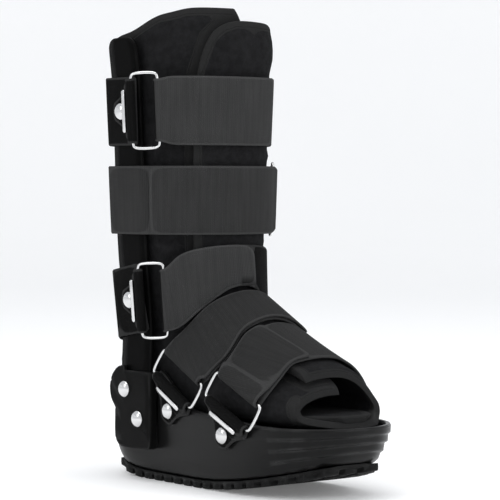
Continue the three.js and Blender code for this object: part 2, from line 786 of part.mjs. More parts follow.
function placed(shape, frame) {
  const basis = new THREE.Matrix4().makeBasis(frame.u, frame.v, frame.n).setPosition(frame.origin);
  const points = shape.clone().applyMatrix4(basis);
  if (basis.determinant() > 0) return points;
  const p = points.attributes.position;
  for (let i = 0; i < p.count; i += 3)
    for (let k = 0; k < 3; k += 1) {
      const swap = p.getComponent(i + 1, k);
      p.setComponent(i + 1, k, p.getComponent(i + 2, k));
      p.setComponent(i + 2, k, swap);
    }
  points.computeVertexNormals();
  return points;
}

const local = (frame, u, v, n) =>
  frame.origin.clone().addScaledVector(frame.u, u).addScaledVector(frame.v, v).addScaledVector(frame.n, n);

// The frame of a ring's keeper: u from the rivet to the ring, v along the bar, n outwards
function keeperFrame(band) {
  const { spec, across, wide } = band;
  if (!band.foot) {
    const here = band.place(legRivetTurn);
    const n = here.normal;
    const v = at(0, 0, 1).addScaledVector(n, -n.z).normalize();
    const u = at(0, 1, 0).addScaledVector(n, -n.dot(at(0, 1, 0)));
    u.addScaledVector(v, -u.dot(v)).normalize();
    const origin = here.middle.clone().addScaledVector(n, strapThick + stand);
    return { origin, u, v, n, depth: strapThick + 3 };
  }
  const lean = radians(band.foot.lean);
  const ahead = spec.ahead + (band.foot.up - spec.up) / Math.tan(lean);
  const [before, after] = [-24, 24].map((k) => at(spec.side * soleHalf(ahead + k), ahead + k, 0));
  const n = after.sub(before).cross(at(0, 0, 1)).normalize();
  if (n.dot(across) < 0) n.negate();
  const u = at(0, Math.cos(lean), Math.sin(lean));
  u.addScaledVector(n, -u.dot(n)).normalize();
  const v = n.clone().cross(u).normalize();
  if (v.dot(wide) > 0) v.negate();
  const origin = at(spec.side * (soleHalf(ahead) + stand + 0.2), ahead, band.foot.up);
  return { origin, u, v, n, depth: 2.6 };
}

const barLift = keeperWall + 0.3 + wire / 2;
const wrapRadius = wire / 2 + seat + strapThick / 2;

// The turn at which the ring's far bar lies on the strap
function findBar(band, near) {
  const lifted = (turn) => {
    const here = band.place(turn);
    return here.middle.addScaledVector(here.normal, strapThick + seat + wire / 2);
  };
  let [low, high] = band.foot ? [40, 105] : [20, 84];
  for (let i = 0; i < 40; i += 1) {
    const middle = (low + high) / 2;
    if (lifted(middle).distanceTo(near) > ringDeep + wire) low = middle;
    else high = middle;
  }
  return { turn: low, centre: lifted(low) };
}

// Rounds the corners of a free end: how much of the half width is left, a distance from the end
function endWidth(distance, radius) {
  const into = THREE.MathUtils.clamp(radius - distance, 0, radius);
  return 1 - (radius - Math.sqrt(radius * radius - into * into)) / (strapWidth / 2);
}

// The turn at which a foot strap's middle comes down to a height on the side away from its ring
function farTurn(band, up) {
  let [low, high] = [-150, -60];
  for (let i = 0; i < 30; i += 1) {
    const middle = (low + high) / 2;
    if (band.place(middle).middle.z < up) low = middle;
    else high = middle;
  }
  return high;
}

// How far a foot strap's far end is drawn along its rows, a distance from that end
const farSlide = (foot, distance) => foot.farSlide * (1 - smooth(distance, 9, 70));

function strapPath(band, bar, barLine) {
  const { spec, foot } = band;
  const path = [];
  const degree = (turn) => band.place(turn).middle.distanceTo(band.place(turn + 1).middle);
  const start = foot ? farTurn(band, foot.farUp - 9) : legStart;
  const startOff = (turn) => band.place(turn).middle.distanceTo(band.place(start).middle);
  const push = (turn, lift, first = 1, last = 1) => {
    const here = band.place(turn);
    const off = Math.abs((turn - bar.turn) * degree(bar.turn));
    const narrow = 1 - 0.09 * (1 - smooth(off, 1, 10));
    const size = here.step.length();
    const turned = here.step.clone().normalize().lerp(barLine, 1 - smooth(off, 2, 16)).normalize();
    here.middle.addScaledVector(barLine, bar.slide * (1 - smooth(off, 2, 18)));
    if (foot && turn < -40) here.middle.addScaledVector(band.wide, farSlide(foot, startOff(turn)));
    path.push({
      middle: here.middle.addScaledVector(here.normal, lift + strapThick / 2),
      step: turned.multiplyScalar(size),
      first: first * narrow,
      last: last * narrow,
    });
  };

  // Under layer, up to the ring's far bar
  const turns = [];
  const count = Math.ceil((bar.turn - start) / strapPitch);
  for (let i = 0; i <= count; i += 1) turns.push(mix(start, bar.turn, i / count));
  if (!foot)
    for (const side of [-1, 1])
      for (const end of [-1, 1]) {
        const reach = uprightInside(spec.up) + uprightThick + gap;
        const half = (end * (uprightWidth + uprightTopWidth)) / 4 + 0.6 * end;
        const turn = THREE.MathUtils.radToDeg(Math.atan2(side * reach, half));
        turns.push(turn > 0 ? turn - 360 : turn);
      }
  const tail = (turn) => {
    if (!foot) return 1;
    const from = startOff(turn);
    const into = THREE.MathUtils.clamp(keeperNarrow / 2 - from, 0, keeperNarrow / 2);
    const round = Math.sqrt((keeperNarrow / 2) ** 2 - into * into) / (keeperNarrow / 2);
    return mix((0.25 + 0.75 * round) * (keeperNarrow / strapWidth), 1, smooth(from, 14, 36));
  };
  if (foot) for (const k of [0.12, 0.3, 0.6]) turns.push(start + (k * keeperNarrow) / degree(start));
  turns
    .sort((a, b) => a - b)
    .filter((t, i, all) => t >= start && (i === 0 || t - all[i - 1] > 0.7))
    .forEach((t) => push(t, 0, tail(t), tail(t)));

  // Round the bar
  const here = band.place(bar.turn);
  const share = path.at(-1);
  for (let i = 1; i < 6; i += 1) {
    const angle = -Math.PI / 2 + (Math.PI * i) / 6;
    const middle = bar.centre.clone().addScaledVector(here.travel, wrapRadius * Math.cos(angle));
    middle.addScaledVector(here.normal, wrapRadius * Math.sin(angle));
    path.push({ middle, step: share.step.clone(), first: share.first, last: share.last });
  }

  // Folded-back layer, to the free end
  const over = (turn) =>
    mix(2 * wrapRadius, strapThick + 0.6, smooth((bar.turn - turn) * degree(turn), 1, 13));
  const step = degree(spec.freeEnd);
  const ends = [1, 0.5, 0.2, 0.05, 0].map((k) => spec.freeEnd + (k * spec.corner) / step);
  const back = [0, 3, 8, 13].map((k) => bar.turn - k / degree(bar.turn));
  while (back.at(-1) - strapPitch > ends[0] + 2) back.push(back.at(-1) - strapPitch);
  for (const t of [...back.filter((k) => k > ends[0] + 1), ...ends]) {
    const distance = Math.max(0, (t - spec.freeEnd) * step);
    push(t, over(t), endWidth(distance, spec.corner), endWidth(distance, 3));
  }
  return path;
}

function wireGeometry(frame, near, far) {
  const v = frame.v;
  const d = far.clone().sub(near).normalize();
  const n = v.clone().cross(d).normalize();
  const [a, b] = [(ringWide + wire) / 2 - ringCorner, (ringDeep + wire) / 2 - ringCorner];
  const centre = near.clone().add(far).multiplyScalar(0.5);
  const corners = [
    [a, b],
    [-a, b],
    [-a, -b],
    [a, -b],
  ];
  const rings = corners.flatMap(([x, y], q) =>
    [0, 1 / 2, 1].map((k) => {
      const angle = (Math.PI / 2) * (q + k);
      const out = v.clone().multiplyScalar(Math.cos(angle)).addScaledVector(d, Math.sin(angle));
      const middle = centre.clone().addScaledVector(v, x).addScaledVector(d, y);
      middle.addScaledVector(out, ringCorner);
      return Array.from({ length: wireSides }, (_, i) => {
        const turn = (2 * Math.PI * (i + 0.5)) / wireSides;
        return middle
          .clone()
          .addScaledVector(out, (wire / 2) * Math.cos(turn))
          .addScaledVector(n, (wire / 2) * Math.sin(turn));
      });
    }),
  );
  return loft(rings, true);
}

// A keeper runs from its riveted tail under the ring's near bar, round it, and back on top of itself.
function keeperPath(frame, near) {
  const u = near.clone().sub(frame.origin).dot(frame.u);
  const n = near.clone().sub(frame.origin).dot(frame.n);
  const loop = wire / 2 + 0.35 + keeperWall / 2;
  const low = n - loop;
  const top = low + keeperWall + 0.4;
  const stations = [
    { x: -9.5, y: low, w: 0.4 * keeperNarrow },
    { x: -8, y: low, w: 0.8 * keeperNarrow },
    { x: -4, y: low, w: 1.05 * keeperNarrow },
    { x: 2, y: low, w: 1.4 * keeperNarrow },
    { x: u - 7, y: low, w: keeperWide },
  ];
  for (let i = 0; i <= 6; i += 1) {
    const angle = -Math.PI / 2 + (Math.PI * i) / 6;
    stations.push({ x: u + loop * Math.cos(angle), y: n + loop * Math.sin(angle), w: keeperWide });
  }
  stations.push(
    { x: u - 1.8, y: n + loop * 0.9, w: keeperWide },
    { x: u - 4, y: mix(top, n + loop, 0.3), w: keeperWide * 0.96 },
    { x: u - 6, y: top, w: keeperWide * 0.9 },
    { x: u - 8, y: top, w: keeperWide * 0.8 },
  );
  return stations.map((s) => ({
    middle: local(frame, s.x, 0, s.y),
    step: frame.v.clone().multiplyScalar(s.w / 2),
    first: 1,
    last: 1,
  }));
}

const drills = { foot_shell: [], upright_right: [], upright_left: [], socket_right: [], socket_left: [] };

// A rivet through whatever is drilled with it, its head on the frame's origin raised by the height
function addRivet(name, frame, height, depth, targets) {
  add(`rivet_${name}`, placed(rivetGeometry(depth + height).translate(0, 0, height), frame), "steel");
  const drill = placed(drillGeometry(-depth - 0.4, height + 1), frame);
  for (const target of targets) drills[target].push(drill);
  return drill;
}

for (const band of straps.map(makeBand)) {
  const { spec, foot } = band;
  const frame = keeperFrame(band);
  const offset = rivetOffset + (foot ? 2 : 0);
  const near = local(frame, offset, 0, barLift);
  const bar = findBar(band, near);
  const barLine = frame.v.clone();
  if (barLine.dot(band.wide) < 0) barLine.negate();
  bar.slide = near.clone().sub(bar.centre).dot(barLine);
  bar.centre.addScaledVector(barLine, bar.slide);

  const holder = foot ? "foot_shell" : `upright_${sideNames[spec.side]}`;
  const drill = addRivet(spec.name, frame, keeperWall + seat, frame.depth, [holder]);
  const strapDrills = [drill];
  if (foot) {
    const here = band.place(farTurn(band, foot.farUp));
    const far = {
      origin: here.middle
        .addScaledVector(here.normal, strapThick + seat)
        .addScaledVector(band.wide, foot.farSlide),
      u: here.travel,
      v: here.normal.clone().cross(here.travel).normalize(),
      n: here.normal,
    };
    strapDrills[0] = addRivet(`${spec.name}_far`, far, 0, strapThick + 3.4, ["foot_shell"]);
  }
  const webbing = ribbon(strapPath(band, bar, barLine), strapThick);
  add(`strap_${spec.name}`, subtract(webbing, ...strapDrills), "webbing");
  add(`ring_${spec.name}`, wireGeometry(frame, near, bar.centre), "steel");
  add(`keeper_${spec.name}`, subtract(ribbon(keeperPath(frame, near), keeperWall), drill), "webbing");
  const clip = new THREE.BoxGeometry(clipDeep, clipWide, clipThick).toNonIndexed();
  clip.translate(offset - 6.4, 0, 2 * keeperWall + 0.8 + seat + clipThick / 2);
  add(`clip_${spec.name}`, placed(clip, frame), "steel");
}

for (const side of [-1, 1]) {
  const name = sideNames[side];
  socketRivets.forEach(({ ahead, up }, i) => {
    const origin = at(side * socketOutside, ahead, up);
    const frame = { origin, u: at(0, 1, 0), v: at(0, 0, 1), n: at(side, 0, 0) };
    addRivet(`socket_${name}_${i + 1}`, frame, seat, socketPlate + 2 * seat + uprightThick - 0.8, [
      `upright_${name}`,
      `socket_${name}`,
    ]);
  });
  add(`upright_${name}`, subtract(uprightGeometry(side), ...drills[`upright_${name}`]), "plastic");
  add(`socket_${name}`, subtract(socketGeometry(side), ...drills[`socket_${name}`]), "plastic");
}

add("foot_shell", subtract(shellGeometry(), ...drills.foot_shell), "plastic");
add("outsole", outsoleGeometry(), "rubber");
add("liner", linerGeometry(), "foam");

boot.position.set(0, restMiddle, 0);
export default boot;
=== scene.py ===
# %% [markdown]
# A medical walking boot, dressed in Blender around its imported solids.
# The solids already have the right sizes and places. Each one gets a smoother, more detailed mesh of the
# same form here, and a finish made of shader nodes. Lengths are in metres, +Z is up the leg and -Y points
# at the toes.

# %% Tools and the fixed frame
import math

import bmesh
import bpy
from mathutils import Matrix, Vector, noise
from mathutils.bvhtree import BVHTree
from mathutils.kdtree import KDTree


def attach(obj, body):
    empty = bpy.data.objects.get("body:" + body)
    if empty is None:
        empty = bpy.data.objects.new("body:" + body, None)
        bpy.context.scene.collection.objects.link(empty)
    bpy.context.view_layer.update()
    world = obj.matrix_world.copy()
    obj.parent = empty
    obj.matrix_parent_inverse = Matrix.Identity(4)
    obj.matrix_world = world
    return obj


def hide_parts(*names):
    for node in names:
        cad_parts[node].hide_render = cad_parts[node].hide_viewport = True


MM = 0.001
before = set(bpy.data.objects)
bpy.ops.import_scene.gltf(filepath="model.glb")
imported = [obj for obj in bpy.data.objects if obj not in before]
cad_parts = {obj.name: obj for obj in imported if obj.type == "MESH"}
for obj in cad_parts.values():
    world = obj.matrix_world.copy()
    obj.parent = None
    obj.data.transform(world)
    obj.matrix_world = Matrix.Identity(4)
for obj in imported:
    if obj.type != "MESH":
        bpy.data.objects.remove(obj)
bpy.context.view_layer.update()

# %% [markdown]
# The camera comes first, so that every later choice can be judged from the photo's side. It stands 1.73 m
# from the leg, turned 38 degrees from straight ahead of the toes, a little above the middle of the boot,
# with a long lens. Its lens and aim are worked out from pixels of the 500 by 500 photo.

# %% The camera
IMAGE = 500
LEG_AXIS = Vector((0, 0.040, 0))
DISTANCE = 1.730
CAMERA_HEIGHT = 0.218
AZIMUTH = math.radians(-38)
FOCAL_PIXELS = 2300
AXIS_PIXEL = (190, 185)
SENSOR = 36


def make_camera():
    away = Vector((-math.sin(AZIMUTH), math.cos(AZIMUTH), 0))
    right = away.cross(Vector((0, 0, 1)))
    aim = away + right * ((IMAGE / 2 - AXIS_PIXEL[0]) / FOCAL_PIXELS)
    aim.z = -(IMAGE / 2 - AXIS_PIXEL[1]) / FOCAL_PIXELS
    data = bpy.data.cameras.new("camera")
    data.sensor_width = SENSOR
    data.lens = FOCAL_PIXELS / IMAGE * SENSOR
    camera = bpy.data.objects.new("camera", data)
    camera.location = LEG_AXIS - away * DISTANCE + Vector((0, 0, CAMERA_HEIGHT))
    camera.rotation_euler = aim.to_track_quat("-Z", "Y").to_euler()
    bpy.context.scene.collection.objects.link(camera)
    bpy.context.scene.camera = camera
    return away, right


view_away, view_right = make_camera()

# %% [markdown]
# The studio is a pale floor that curves up all round like a shallow bowl, so that every view of the boot
# has the same plain backdrop, with a large soft light on each side and one above. Black things show their
# form by reflections, so the lights are wide panels rather than lamps. The profile of the bowl is a line of
# points, and spinning it about the vertical is quicker than modelling a round room.

# %% The studio
BOWL_RADIUS = 4.5
BOWL_ROUND = 0.9
BOWL_RIM = 1.3
BOWL_ARC_STEPS = 8
BOWL_SPIN_STEPS = 64


def spin_profile(shape, profile, steps):
    """Turns a line of (out, 0, up) points once about the vertical axis"""
    points = [shape.verts.new(p) for p in profile]
    line = [shape.edges.new(pair) for pair in zip(points, points[1:])]
    bmesh.ops.spin(
        shape, geom=points + line, axis=(0, 0, 1), cent=(0, 0, 0), angle=2 * math.pi, steps=steps,
        use_merge=True,
    )


def make_bowl():
    shape = bmesh.new()
    profile = [Vector((0, 0, 0)), Vector((BOWL_RADIUS - BOWL_ROUND, 0, 0))]
    for step in range(1, BOWL_ARC_STEPS + 1):
        angle = math.radians(90 * step / BOWL_ARC_STEPS)
        out = BOWL_RADIUS - BOWL_ROUND + BOWL_ROUND * math.sin(angle)
        profile.append(Vector((out, 0, BOWL_ROUND * (1 - math.cos(angle)))))
    profile.append(Vector((BOWL_RADIUS, 0, BOWL_RIM)))
    spin_profile(shape, profile, BOWL_SPIN_STEPS)
    bmesh.ops.remove_doubles(shape, verts=shape.verts, dist=1e-5)
    bmesh.ops.recalc_face_normals(shape, faces=shape.faces)
    if next(iter(shape.faces)).normal.z < 0:
        bmesh.ops.reverse_faces(shape, faces=shape.faces)
    for face in shape.faces:
        face.smooth = True
    mesh = bpy.data.meshes.new("studio_bowl")
    shape.to_mesh(mesh)
    shape.free()
    bowl = bpy.data.objects.new("studio_bowl", mesh)
    bpy.context.scene.collection.objects.link(bowl)
    return bowl


AIM_HEIGHT = 0.16


def soft_light(name, place, size, power):
    """A panel of that size, placed across, toward and above the camera's line, and aimed at the boot"""
    data = bpy.data.lights.new(name, "AREA")
    data.shape = "RECTANGLE"
    data.size, data.size_y = size
    data.energy = power
    light = bpy.data.objects.new(name, data)
    across, toward, up = place
    light.location = view_right * across - view_away * toward + Vector((0, 0, up))
    light.rotation_euler = (Vector((0, 0, AIM_HEIGHT)) - light.location).to_track_quat("-Z", "Y").to_euler()
    bpy.context.scene.collection.objects.link(light)


WORLD_TINT = (0.95, 0.97, 1.0, 1)
WORLD_STRENGTH = 0.8

bowl = make_bowl()
soft_light("key_light", (-1.5, 1.0, 1.3), (1.0, 1.3), 7)
soft_light("fill_light", (1.5, 0.9, 0.9), (1.0, 1.4), 7)
soft_light("top_light", (0.0, 0.1, 1.9), (1.6, 1.2), 15)
world = bpy.data.worlds.new("studio")
world.use_nodes = True
world.node_tree.nodes["Background"].inputs["Color"].default_value = WORLD_TINT
world.node_tree.nodes["Background"].inputs["Strength"].default_value = WORLD_STRENGTH
bpy.context.scene.world = world
bpy.context.scene.view_settings.view_transform = "Standard"

# %% [markdown]
# Shader maths reads like ordinary arithmetic here. A Wire is the output socket of a node, and + - * on it
# add Math nodes. A Finish holds one material and makes any other node from its type, settings and inputs.

# %% Shader arithmetic
class Wire:
    def __init__(self, finish, socket):
        self.finish = finish
        self.socket = socket

    def math(self, operation, *others, clamp=False):
        inputs = dict(enumerate([self, *others]))
        return self.finish.node("ShaderNodeMath", {"operation": operation, "use_clamp": clamp}, inputs)

    def __add__(self, other):
        return self.math("ADD", other)

    __radd__ = __add__

    def __sub__(self, other):
        return self.math("SUBTRACT", other)

    def __rsub__(self, other):
        return (self * -1) + other

    def __mul__(self, other):
        return self.math("MULTIPLY", other)

    __rmul__ = __mul__

    def sine(self, pitch):
        """A wave of that pitch along this length, from 0 to 1"""
        return (self * (2 * math.pi / pitch)).math("SINE") * 0.5 + 0.5

    def step(self, low, high):
        """0 below low, 1 above high, smooth between"""
        inputs = {"Value": self, "From Min": low, "From Max": high, "To Min": 0, "To Max": 1}
        return self.finish.node("ShaderNodeMapRange", {"interpolation_type": "SMOOTHSTEP"}, inputs)

    def mix(self, low, high):
        """The colour or number between low and high at this share"""
        settings = {"data_type": "RGBA", "clamp_factor": True}
        return self.finish.node("ShaderNodeMix", settings, {0: self, 6: low, 7: high}, 2)


class Finish:
    def __init__(self, name):
        self.material = bpy.data.materials.new(name)
        self.material.use_nodes = True
        self.tree = self.material.node_tree
        self.tree.nodes.clear()

    def node(self, kind, settings, inputs, output=0):
        made = self.tree.nodes.new(kind)
        for key, value in settings.items():
            setattr(made, key, value)
        for key, value in inputs.items():
            if isinstance(value, Wire):
                self.tree.links.new(value.socket, made.inputs[key])
            else:
                made.inputs[key].default_value = value
        return Wire(self, made.outputs[output])

    def place(self):
        return self.node("ShaderNodeTexCoord", {}, {}, "Object")

    def attribute(self, name):
        return self.node("ShaderNodeAttribute", {"attribute_name": name}, {}, "Fac")

    def noise(self, size, detail=2, where=None, rough=0.5):
        """Noise whose blobs are about that size"""
        place = where or self.place()
        inputs = {"Vector": place, "Scale": 1 / size, "Detail": detail, "Roughness": rough}
        return self.node("ShaderNodeTexNoise", {}, inputs, "Fac")

    def bump(self, height, depth, under=None):
        """A Bump node; height from 0 to 1 stands for depth in metres"""
        inputs = {"Height": height, "Distance": depth, "Strength": 1.0}
        if under:
            inputs["Normal"] = under
        return self.node("ShaderNodeBump", {}, inputs, "Normal")

    def surface(self, **inputs):
        named = {key.replace("_", " "): value for key, value in inputs.items()}
        shader = self.node("ShaderNodeBsdfPrincipled", {}, named, "BSDF")
        output = self.tree.nodes.new("ShaderNodeOutputMaterial")
        self.tree.links.new(shader.socket, output.inputs["Surface"])
        return self.material


def grey(value, blue=0.0):
    return (value, value, value * (1 + blue), 1)


# %% [markdown]
# The floor is matt white paint that is hardly ever the same all over. A little light of its own keeps the
# far wall as bright as the floor under the lamps.

# %% The studio's paint
CLOUD_SIZE = 0.8
PAINT_GLOW = 0.12

paint = Finish("studio_paint")
tone = paint.noise(CLOUD_SIZE).mix(grey(0.91), grey(0.94))
bowl.data.materials.append(
    paint.surface(Base_Color=tone, Roughness=0.9, Emission_Color=grey(1), Emission_Strength=PAINT_GLOW)
)

# %% [markdown]
# A solid's mesh arrives as loose triangles. A copy is merged, and pairs of triangles become quads, which
# subdivide cleanly. Edges that were sharp keep a crease, so a wall's rim stays crisp while its sides turn
# smooth.

# %% Copies of the solids
WELD = 1e-6
FLAT_PAIR = math.radians(40)


def solid_copy(node):
    shape = bmesh.new()
    shape.from_mesh(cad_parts[node].data)
    bmesh.ops.remove_doubles(shape, verts=shape.verts, dist=WELD)
    bmesh.ops.join_triangles(
        shape, faces=shape.faces, angle_face_threshold=FLAT_PAIR, angle_shape_threshold=FLAT_PAIR,
    )
    return shape


def sharp_edges(shape, degrees):
    limit = math.radians(degrees)
    return [e for e in shape.edges if len(e.link_faces) == 2 and e.calc_face_angle(0) > limit]


def crease(shape, degrees, amount):
    layers = shape.edges.layers.float
    layer = layers.get("crease_edge") or layers.new("crease_edge")
    for edge in sharp_edges(shape, degrees):
        edge[layer] = amount


def make_piece(name, shape, finish, replaced, sharp=None):
    """Makes the bmesh an object that stands for the replaced solids"""
    for face in shape.faces:
        face.smooth = True
    mesh = bpy.data.meshes.new(name)
    shape.to_mesh(mesh)
    shape.free()
    if sharp:
        mesh.set_sharp_from_angle(angle=math.radians(sharp))
    mesh.materials.append(finish)
    piece = bpy.data.objects.new(name, mesh)
    bpy.context.scene.collection.objects.link(piece)
    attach(piece, "root")
    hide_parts(*replaced)
    return piece


def subdivide(piece, levels):
    modifier = piece.modifiers.new("smooth", "SUBSURF")
    modifier.levels = modifier.render_levels = levels
    modifier.boundary_smooth = "PRESERVE_CORNERS"


def settle(piece):
    """Applies the piece's modifiers to its mesh"""
    graph = bpy.context.evaluated_depsgraph_get()
    mesh = bpy.data.meshes.new_from_object(piece.evaluated_get(graph), depsgraph=graph)
    piece.modifiers.clear()
    old = piece.data
    piece.data = mesh
    bpy.data.meshes.remove(old)
    return mesh


# %% [markdown]
# Real edges differ from what lies between them: cloth is bound with tape, webbing has a selvedge, and
# plastic edges are worn smooth and catch the light. So each mesh carries how far each of its points is from
# a sharp edge, in an attribute called rim, and the materials draw tape and selvedge from it at their true
# widths, and on plastic a painted highlight along the edges, where it is also a little smoother.

# %% Distances from edges
CLOTH_EDGE = 50
PLASTIC_EDGE = 32


def bound_edges(shape, degrees=CLOTH_EDGE):
    """A tree of points every millimetre along the edges that are sharper than that"""
    points = []
    for edge in sharp_edges(shape, degrees):
        a, b = [v.co for v in edge.verts]
        count = max(1, int((b - a).length / MM))
        points += [a.lerp(b, k / count) for k in range(count + 1)]
    tree = KDTree(len(points))
    for i, point in enumerate(points):
        tree.insert(point, i)
    tree.balance()
    return tree


def solid_rims(node, degrees=CLOTH_EDGE):
    shape = solid_copy(node)
    rims = bound_edges(shape, degrees)
    shape.free()
    return rims


def write_values(mesh, name, values):
    mesh.attributes.new(name, "FLOAT", "POINT").data.foreach_set("value", values)


def write_rim(mesh, rims):
    """Each point's distance from the nearest edge of its piece"""
    write_values(mesh, "rim", [rims.find(v.co)[2] for v in mesh.vertices])


# %% [markdown]
# Brushed loop cloth covers the liner's foam. Its short pile scatters light, so it is dark and rough and has
# a soft sheen, with a fine fuzz in the bump and lighter and darker patches where hands have brushed it. The
# binding tape is a band along the bound edges, with one stitched line in it.

# %% Liner cloth
BINDING = 6.5 * MM
STITCH_FROM = 4.2 * MM
STITCH_TO = 5.3 * MM
STITCH_SOFT = 0.4 * MM


def liner_cloth():
    cloth = Finish("loop_cloth")
    rim = cloth.attribute("rim")
    tape = 1 - rim.step(BINDING - 0.5 * MM, BINDING)
    brushed = cloth.noise(5 * MM, 4, rough=0.6).step(0.3, 0.7)
    wear = cloth.noise(30 * MM, 3) * 0.5 + brushed * 0.5
    fuzz = cloth.noise(0.9 * MM, 3, rough=0.7)
    pile = wear.mix(grey(0.008, 0.05), grey(0.019, 0.05))
    stitch_start = rim.step(STITCH_FROM, STITCH_FROM + STITCH_SOFT)
    stitch = stitch_start * (1 - rim.step(STITCH_TO - STITCH_SOFT, STITCH_TO))
    tape_tone = fuzz.mix(grey(0.015), grey(0.026))
    colour = tape.mix(pile, tape_tone)
    height = fuzz * (1 - tape * 0.6) + tape * 1.5 - stitch
    return cloth.surface(
        Base_Color=colour, Roughness=0.92, Normal=cloth.bump(height, 0.35 * MM),
        Specular_IOR_Level=0.02, Sheen_Weight=0.01, Sheen_Roughness=0.5,
    )


# %% [markdown]
# The straps are woven webbing with a brushed face. Their own UV map holds real lengths, along and across
# the strap, so the ribs and the faint streaks cross the strap at a true pitch, and the selvedge follows its
# edges. Where a strap is folded back, its outer layer shows the webbing's other face, in another tone.

# %% Webbing
RIB_PITCH = 1.25 * MM
THREAD_PITCH = 1.1 * MM
STREAK_SIZE = 2.5 * MM
STREAK_SQUEEZE = 0.05


def strap_webbing(name, outer, inner):
    """Webbing whose folded-back layer has the outer tone and whose under layer the inner one"""
    web = Finish(name)
    uv = web.node("ShaderNodeUVMap", {"uv_map": "strap"}, {}, "UV")
    along = web.node("ShaderNodeSeparateXYZ", {}, {"Vector": uv}, "X")
    across = Wire(web, along.socket.node.outputs["Y"])
    edge = web.attribute("rim")
    ribs = along.sine(RIB_PITCH)
    threads = across.sine(THREAD_PITCH)
    fuzz = web.noise(0.7 * MM, 3, rough=0.7)
    stretched = web.node("ShaderNodeCombineXYZ", {}, {"X": along, "Y": across * STREAK_SQUEEZE})
    streaks = web.noise(STREAK_SIZE, 4, where=stretched)
    worn = web.noise(22 * MM, 4)
    selvedge = 1 - edge.step(1.3 * MM, 1.9 * MM)
    shade = ribs * 0.2 + fuzz * 0.25 + worn * 0.25 + streaks.step(0.3, 0.7) * 0.3
    folded = web.attribute("folded")
    under = shade.mix(grey(inner * 0.75), grey(inner * 1.3))
    over = shade.mix(grey(outer * 0.75), grey(outer * 1.3))
    face = folded.mix(under, over)
    colour = (selvedge * 0.35).mix(face, grey(0.075))
    weave = ribs * 0.5 + threads * 0.25 + fuzz * 0.6
    groove = edge.step(1.8 * MM, 2.4 * MM)
    return web.surface(
        Base_Color=colour, Roughness=0.82, Normal=web.bump(weave + groove * 0.6, 0.3 * MM),
        Specular_IOR_Level=0.02, Sheen_Weight=0.01, Sheen_Roughness=0.4,
    )


# %% [markdown]
# The shell and the uprights are one family of black moulded plastic. The shell has a satin moulding grain.
# The uprights are smoother and stay near black. Edges get a painted highlight, a lighter tone in patches,
# and are a little smoother there as a worn boot's are; the ring wire, clips and rivets are bright plated
# steel.

# %% Plastics, rubber and metal
# Width of the band along plastic edges that gets a painted highlight and a little less roughness
EDGE_HIGHLIGHT_WIDTH = 1.7 * MM


def moulded(name, tone, edge_highlight_tone, roughness, gloss, grain, grain_depth):
    """Black plastic or rubber, with a lighter tone painted in patches along its edges as a highlight, where
    it is also a little smoother, as worn edges are
    """
    plastic = Finish(name)
    speckle = plastic.noise(grain, 2)
    handling = plastic.noise(45 * MM, 3)
    patches = plastic.noise(20 * MM, 3).step(0.3, 0.8)
    # Edge band in patches: the colour gets a painted highlight, and the roughness drops a little as on
    # worn-smooth edges
    rubbed_and_highlit = (1 - plastic.attribute("rim").step(0.3 * MM, EDGE_HIGHLIGHT_WIDTH)) * patches
    rough = handling * 0.12 - rubbed_and_highlit * 0.1 + (roughness - 0.06)
    colour = rubbed_and_highlit.mix(handling.mix(grey(tone * 0.8), grey(tone * 1.2)), grey(edge_highlight_tone))
    return plastic.surface(
        Base_Color=colour, Roughness=rough, Normal=plastic.bump(speckle, grain_depth),
        Specular_IOR_Level=gloss,
    )


def bright_metal():
    metal = Finish("bright_metal")
    smear = metal.noise(6 * MM, 3)
    colour = smear.mix(grey(0.62), grey(0.72))
    rough = smear.math("MULTIPLY_ADD", 0.14, 0.1)
    dimples = metal.bump(metal.noise(1.5 * MM), 0.02 * MM)
    return metal.surface(Base_Color=colour, Metallic=1.0, Roughness=rough, Normal=dimples)


loop_cloth = liner_cloth()
BLACK_FACE = 0.006

leg_webbing = strap_webbing("leg_webbing", 0.038, BLACK_FACE)
calf_webbing = strap_webbing("calf_webbing", 0.032, 0.031)
foot_webbing = strap_webbing("foot_webbing", 0.026, 0.029)
keeper_webbing = strap_webbing("keeper_webbing", BLACK_FACE, BLACK_FACE)
# The second tone of each plastic is its painted edge highlight
shell_plastic = moulded("shell_plastic", 0.006, 0.026, 0.33, 0.12, 0.8 * MM, 0.02 * MM)
upright_plastic = moulded("upright_plastic", 0.003, 0.012, 0.26, 0.02, 2.5 * MM, 0.02 * MM)
socket_plastic = moulded("socket_plastic", 0.006, 0.03, 0.34, 0.03, 0.8 * MM, 0.03 * MM)
tread_rubber = moulded("tread_rubber", 0.005, 0.02, 0.6, 0.1, 0.6 * MM, 0.06 * MM)
nickel = bright_metal()

# %% [markdown]
# Hard parts: the shell, the outsole, the uprights and their sockets. Their copies get a crease on every
# sharp edge and one or two rounds of subdivision, which rounds the edges just enough to catch a highlight.

# %% Hard parts
def dress(node, finish, slot, degrees=30, amount=0.8, levels=2):
    shape = solid_copy(node)
    crease(shape, degrees, amount)
    piece = make_piece(f"{node}_dressed", shape, finish, [node])
    subdivide(piece, levels)
    return piece


def mould(node, finish, slot, **how):
    """A dressed piece with a painted highlight along its edges, which are also a little smoother"""
    write_rim(settle(dress(node, finish, slot, **how)), solid_rims(node, PLASTIC_EDGE))


mould("foot_shell", shell_plastic, "plastic")
mould("outsole", tread_rubber, "rubber", levels=1, amount=0.9)
for side in ("right", "left"):
    mould(f"upright_{side}", upright_plastic, "plastic")
    mould(f"socket_{side}", socket_plastic, "plastic")

# %% [markdown]
# Rings are bent from 3 mm wire, so their six-sided tubes only need rounding. Clips are pressed from sheet.
# A rivet is turned: its profile is spun about the vertical, then laid along its own axis, which is the line
# between its solid's two poles.

# %% Rings, clips and rivets
RIVET_RADIUS = 6.2 * MM
RIVET_RISE = 3.4 * MM
SHANK_RADIUS = 2.4 * MM
BEVEL_RISE = 0.5 * MM
DOME_FOOT = 0.9 * MM
DOME_STEPS = 6
RIVET_SPIN_STEPS = 28


